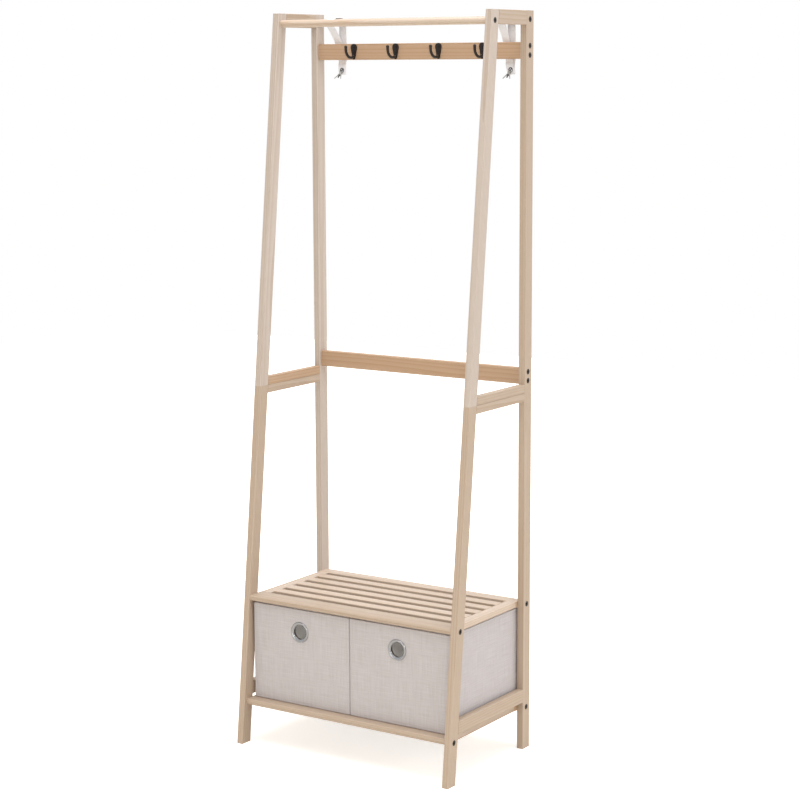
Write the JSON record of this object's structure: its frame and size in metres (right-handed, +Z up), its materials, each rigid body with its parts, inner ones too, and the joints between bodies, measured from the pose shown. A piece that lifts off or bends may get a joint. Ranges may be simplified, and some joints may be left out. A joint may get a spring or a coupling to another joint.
{
  "type": "open frame wardrobe",
  "caption": "Open wooden clothes rack with leaning front legs, hanging rods, a rail of coat hooks, a slatted shelf and pull-out fabric boxes below.",
  "frame": {"origin": "on the floor, at the middle of the four feet", "axes": "+X to the right seen from the front, +Y to the back, where the uprights stand, +Z up"},
  "size_m": [0.6, 0.365, 1.73],
  "materials": {
    "pine": "clear matt lacquer",
    "beech": "raw",
    "linen_fabric": "woven, matt",
    "lining_fabric": "non-woven, matt",
    "greyboard": "pressed paper board",
    "nickel_steel": "satin nickel",
    "zinc_steel": "zinc plated",
    "black_metal": "satin black",
    "webbing": "woven, matt",
    "nylon": "moulded, matt"
  },
  "bodies": {
    "frame": {"anti_tip_strap_left": "webbing", "anti_tip_strap_right": "webbing", "bottom_back_rail": "pine", "bottom_front_rail": "pine", "bottom_side_board_left": "pine", "bottom_side_board_right": "pine", "bottom_side_rail_left": "pine", "bottom_side_rail_right": "pine", "coat_hook_1": "black_metal", "coat_hook_2": "black_metal", "coat_hook_3": "black_metal", "coat_hook_4": "black_metal", "frame_bolts": "black_metal", "front_hanging_rod": "pine", "front_leg_left_lower": "pine", "front_leg_left_upper": "pine", "front_leg_right_lower": "pine", "front_leg_right_upper": "pine", "hook_rail": "pine", "hook_screws": "black_metal", "lower_mid_rail_left": "pine", "lower_mid_rail_right": "pine", "mid_back_rail": "pine", "rear_top_rod": "pine", "rear_upright_left_lower": "pine", "rear_upright_left_upper": "pine", "rear_upright_right_lower": "pine", "rear_upright_right_upper": "pine", "shelf_back_rail": "pine", "shelf_front_rail": "pine", "shelf_side_rail_left": "pine", "shelf_side_rail_right": "pine", "shelf_slat_1": "pine", "shelf_slat_2": "pine", "shelf_slat_3": "pine", "shelf_slat_4": "pine", "shelf_slat_5": "pine", "strap_grommets": "black_metal", "threaded_inserts": "zinc_steel", "top_side_rail_left": "pine", "top_side_rail_right": "pine", "upper_mid_rail_left": "pine", "upper_mid_rail_right": "pine", "wall_plugs": "nylon", "wall_screws": "black_metal", "wooden_dowels": "beech"},
    "box_left": {"box_left_base_board": "greyboard", "box_left_cover": "linen_fabric", "box_left_eyelet": "nickel_steel", "box_left_eyelet_washer": "nickel_steel", "box_left_front_board": "greyboard", "box_left_lining": "lining_fabric", "box_left_wall_boards": "greyboard"},
    "box_right": {"box_right_base_board": "greyboard", "box_right_cover": "linen_fabric", "box_right_eyelet": "nickel_steel", "box_right_eyelet_washer": "nickel_steel", "box_right_front_board": "greyboard", "box_right_lining": "lining_fabric", "box_right_wall_boards": "greyboard"}
  },
  "joints": [
    {"name": "box_left_slide", "type": "slide", "parent": "frame", "child": "box_left", "axis": [0, -1, 0], "range_m": [0, 0.28]},
    {"name": "box_right_slide", "type": "slide", "parent": "frame", "child": "box_right", "axis": [0, -1, 0], "range_m": [0, 0.28]}
  ]
}
